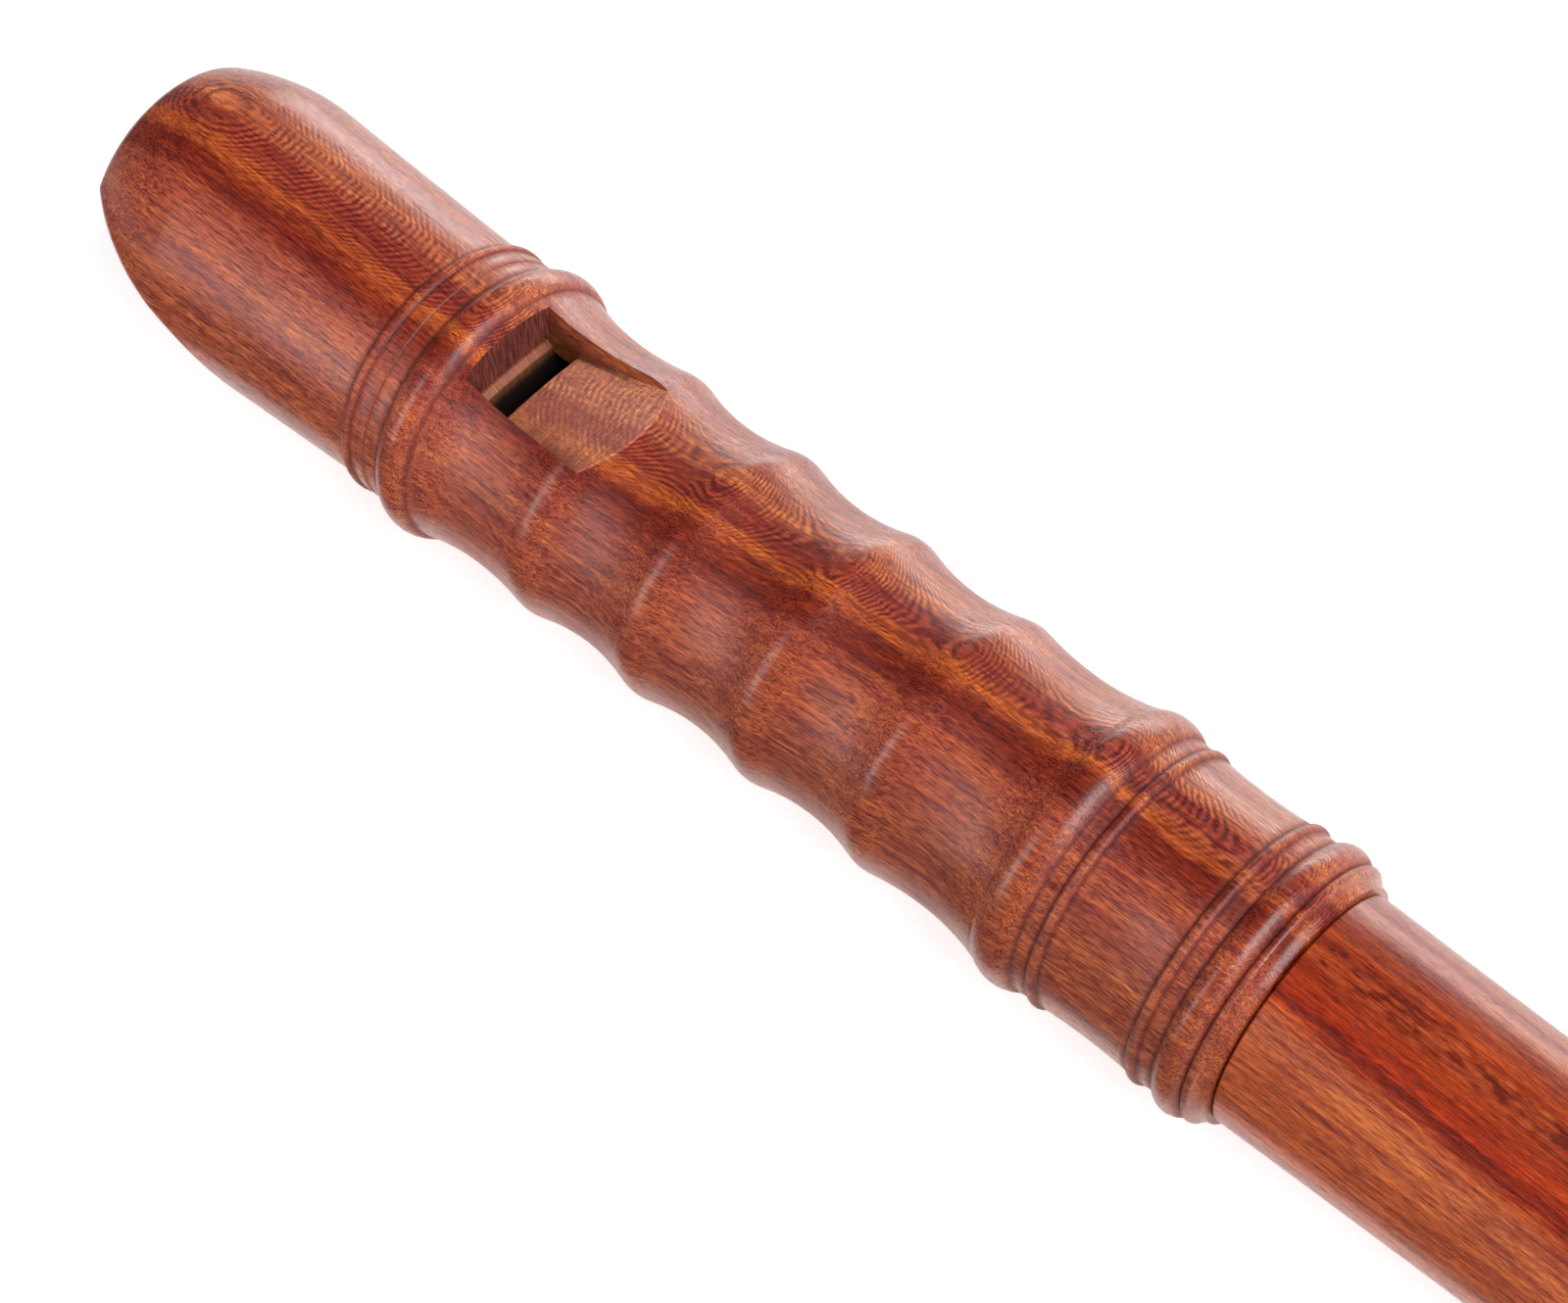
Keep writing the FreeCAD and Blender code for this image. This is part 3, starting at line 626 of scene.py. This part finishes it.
def wave_hollow(x):
    """0 on a crest of the head's waves, 1 in a hollow between two, by a cosine, and 0 elsewhere."""
    waves = x.between(FIRST_CREST_X - 16.0, FIRST_CREST_X - 11.0)
    waves = waves * (1.0 - x.between(LAST_CREST_X + 12.0, LAST_CREST_X + 16.0))
    turns = (x - FIRST_CREST_X) * (2 * np.pi / CREST_PITCH)
    return (0.5 - turns.math("COSINE") * 0.5) * waves


print("turned grooves:", sum(len(places) for places in grooves.values()))


# %% The wood of the head and the foot
def head_wood(name, seed):
    """The wood of the head and the foot, with the marks of the tools and painted shade."""
    finish = Finish(name)
    place = log_place(finish)
    x, y, z = place
    log = bent(x, y, z)
    colour, relief, fibre, pore = grown_wood(finish, log, seed, **head_log)
    # Painted shade: from 45 to 85 mm past the beak the wood grows 12 % darker, and it stays so over
    # the waves and the foot.
    colour = scaled(finish, colour, 1.0 - from_beak(x, 45.0, 85.0) * 0.12)
    near_socket = from_beak(x, 128.0, 136.0)
    colour = mottled(finish, log, colour, -2.4, -0.4, near_socket * 0.8, seed + 31.0)

    colour = scraped_ramp(finish, place, colour, seed)
    colour = end_grain_wall(finish, place, colour, seed)
    radius = (y * y + z * z) ** 0.5
    colour = shaded_window(finish, place, radius, colour)
    colour = dark_bore(finish, x, radius, colour)

    groove_gap = from_groove(x)
    score_gap = abs(x - SCORE_X)
    # Each groove is tinted darker, partly for the oil and dust in it and partly as painted shade.
    # The score line is darkened a little in the same way.
    grooved = tinted(finish, colour, GROOVE_TINT)
    colour = finish.mix(groove_gap.between(0.0, 0.5), grooved, colour)
    colour = scaled(finish, colour, score_gap.between(0.0, 0.4) * 0.15 + 0.85)
    cut = 1.0 - groove_gap.math("MINIMUM", score_gap).between(0.3, 1.0)
    return oil(finish, colour, relief, fibre, pore, wave_hollow(x) * 0.12 + cut * 0.25)


turned_wood = head_wood("head and foot wood", 1.3)
print(turned_wood.material.name, "has", len(turned_wood.tree.nodes), "nodes")

# %% [markdown]
# ## The middle joint
#
# Makers cut the joints of one instrument from one board, yet the grain never quite meets. The
# middle joint is more orange and straighter. A dark line runs along it, and a row of small
# mottles lies beside its top, where the rays of the tree come to the surface.

# %% The wood of the middle joint
middle_log = {
    # The zone of ripples lies past the log's edge, so the layers hardly show
    "rise": 0.02, "lean": 0.15, "layer_mm": 0.5, "ripple_low": 30.0, "ripple_high": 31.0,
    "fibre_mm": 1.7, "contrast": 0.6,
    "colours": [
        (-18.0, (0.31, 0.056, 0.014)), (-12.5, (0.32, 0.055, 0.012)),
        (-11.2, (0.33, 0.062, 0.017)), (-9.4, (0.34, 0.074, 0.027)),
        (-8.4, (0.33, 0.068, 0.023)), (-7.3, (0.29, 0.042, 0.010)),
        (-6.6, (0.235, 0.019, 0.003)), (-5.9, (0.13, 0.008, 0.002)),
        (-5.3, (0.255, 0.018, 0.003)), (-3.1, (0.25, 0.023, 0.003)),
        (-1.4, (0.23, 0.025, 0.005)), (0.8, (0.28, 0.036, 0.006)),
        (1.6, (0.20, 0.018, 0.005)), (2.2, (0.29, 0.038, 0.008)),
        (4.4, (0.24, 0.038, 0.016)), (8.0, (0.29, 0.062, 0.030)),
    ],
}
MIDDLE_TOP_X = -80.0
MIDDLE_TILT = 0.03


def middle_wood(name, seed):
    """A straighter wood, with a row of dark mottles along its top."""
    finish = Finish(name)
    x, y, z = log_place(finish)
    log = (x, y + (x - MIDDLE_TOP_X) * MIDDLE_TILT, z)
    colour, relief, fibre, pore = grown_wood(finish, log, seed, **middle_log)
    colour = mottled(finish, log, colour, -1.6, 1.3, 0.85, seed + 23.0)
    return oil(finish, colour, relief, fibre, pore)


straight_wood = middle_wood("middle joint wood", 5.1)
print(straight_wood.material.name, "has", len(straight_wood.tree.nodes), "nodes")

# %% [markdown]
# ## The block and the corks
#
# The block is always cedar, left without oil so that it can drink the player's breath. Little of
# it shows: a chamfer under the window, and the rest in the dark. Cork is pressed from grains, so
# it gets a cloud of pale grains with some dark seams, and it doesn't shine at all.

# %% The cedar of the block
DARK_CEDAR = (0.15, 0.036, 0.014, 1.0)
PALE_CEDAR = (0.32, 0.085, 0.032, 1.0)
CUT_CEDAR_TINT = (0.72, 0.88, 0.80)
CEDAR_ROUGHNESS = 0.6


def block_wood(name, seed):
    """Plain straight cedar, browner than the head, with painted shade on the lower part of its
    inner end.
    """
    finish = Finish(name)
    place = log_place(finish)
    x, height = place[0], place[2]
    line = clouds(finish, place, (12.0, 0.14, 2.0), seed, 3.0, 0.6).between(-0.2, 0.2)
    colour = finish.mix(line, DARK_CEDAR, PALE_CEDAR)
    face = from_beak(x, 56.2, 56.25)
    colour = finish.mix(face, colour, tinted(finish, colour, CUT_CEDAR_TINT))
    # Painted shade: the lower part of the block's inner end, deep under the window, is darkened
    # nearly to black.
    shaded_inner_end = from_beak(x, 54.0, 55.5) * (1.0 - height.between(6.4, 8.8))
    colour = scaled(finish, colour, 1.0 - shaded_inner_end * 0.94)
    finish.set(Base_Color=colour, Roughness=CEDAR_ROUGHNESS)
    return finish


cedar = block_wood("block cedar", 8.3)
print(cedar.material.name, "has", len(cedar.tree.nodes), "nodes")

# %% The cork of the rings
DARK_GRAIN = (0.42, 0.22, 0.10, 1.0)
PALE_GRAIN = (0.62, 0.38, 0.20, 1.0)
SEAM = (0.12, 0.05, 0.02, 1.0)
CORK_ROUGHNESS = 0.9
CORK_RELIEF = 0.00006


def cork(name, seed):
    """Pressed cork: pale grains with dark seams between some of them."""
    finish = Finish(name)
    place = log_place(finish)
    grain = clouds(finish, place, (0.7, 0.7, 0.7), seed, 3.0, 0.7)
    seam = clouds(finish, place, (0.5, 0.5, 0.5), seed + 5.0, 1.0).between(0.08, 0.16)
    colour = finish.mix(grain.between(-0.2, 0.2), DARK_GRAIN, PALE_GRAIN)
    colour = finish.mix(seam * 0.7, colour, SEAM)
    relief = finish.bump(grain - seam, CORK_RELIEF)
    finish.set(Base_Color=colour, Roughness=CORK_ROUGHNESS, Normal=relief)
    return finish


pressed_cork = cork("pressed cork", 2.9)
print(pressed_cork.material.name, "has", len(pressed_cork.tree.nodes), "nodes")

# %% [markdown]
# ## Dressing the pieces
#
# Head and foot share one finish, and each finds its own part of the log by its place. That costs
# nothing, because a solid pattern has no seam to line up.

# %% Dress the pieces
finish_of = {
    "head_joint": turned_wood,
    "foot_joint": turned_wood,
    "middle_joint": straight_wood,
    "block": cedar,
    "upper_tenon_cork": pressed_cork,
    "lower_tenon_cork": pressed_cork,
}
for name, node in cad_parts.items():
    node.data.materials.clear()
    node.data.materials.append(finish_of[name].material)
    print("%s wears %s" % (name, finish_of[name].material.name))
